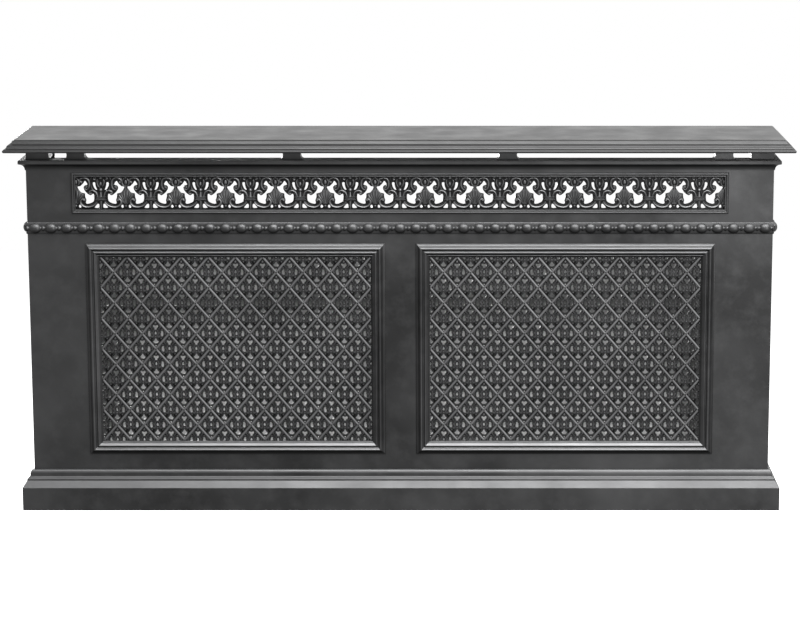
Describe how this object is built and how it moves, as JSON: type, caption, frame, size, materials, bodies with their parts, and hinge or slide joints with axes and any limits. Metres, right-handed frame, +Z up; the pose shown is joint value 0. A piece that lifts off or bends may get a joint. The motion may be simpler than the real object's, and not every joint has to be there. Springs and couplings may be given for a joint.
{
  "type": "radiator cover cabinet",
  "caption": "Cast-iron radiator cover with a shelf on spacers, a pierced scroll frieze and framed lattice grilles above a stepped plinth.",
  "frame": {"origin": "on the floor under the middle of the shelf's plan", "axes": "+X to the right along the front, +Y back towards the wall, +Z up"},
  "size_m": [1.93, 0.285, 0.934],
  "materials": {
    "cast_iron": "blackened and burnished, brighter on the ridges",
    "grille_iron": "blackened casting, rubbed bright on the bars and scrolls",
    "black_steel": "satin black paint",
    "zinc_steel": "zinc plated"
  },
  "bodies": {
    "cabinet": {"front_panel": "cast_iron", "side_panel_left": "cast_iron", "side_panel_right": "cast_iron", "cornice_front": "cast_iron", "cornice_left": "cast_iron", "cornice_right": "cast_iron", "bead_rail_front": "cast_iron", "bead_rail_left": "cast_iron", "bead_rail_right": "cast_iron", "plinth_front": "cast_iron", "plinth_left": "cast_iron", "plinth_right": "cast_iron", "panel_frame_left": "cast_iron", "panel_frame_right": "cast_iron", "lattice_grille_left": "grille_iron", "lattice_grille_right": "grille_iron", "frieze_fret": "grille_iron", "shelf_spacer_1": "cast_iron", "shelf_spacer_2": "cast_iron", "shelf_spacer_3": "cast_iron", "shelf_spacer_4": "cast_iron", "corner_spacer_left": "cast_iron", "rear_spacer_left": "cast_iron", "corner_spacer_right": "cast_iron", "rear_spacer_right": "cast_iron", "corner_angle_left_lower": "black_steel", "front_bolt_left_lower": "zinc_steel", "side_bolt_left_lower": "zinc_steel", "corner_angle_left_upper": "black_steel", "front_bolt_left_upper": "zinc_steel", "side_bolt_left_upper": "zinc_steel", "corner_angle_right_lower": "black_steel", "front_bolt_right_lower": "zinc_steel", "side_bolt_right_lower": "zinc_steel", "corner_angle_right_upper": "black_steel", "front_bolt_right_upper": "zinc_steel", "side_bolt_right_upper": "zinc_steel", "grille_bar_left_upper": "black_steel", "grille_bar_left_lower": "black_steel", "grille_bar_right_upper": "black_steel", "grille_bar_right_lower": "black_steel", "fret_bar_upper": "black_steel", "fret_bar_lower": "black_steel"},
    "shelf": {"shelf": "cast_iron"}
  },
  "joints": [
    {"name": "shelf_lift", "type": "slide", "parent": "cabinet", "child": "shelf", "axis": [0, 0, 1], "range_m": [0, 0.12]}
  ]
}
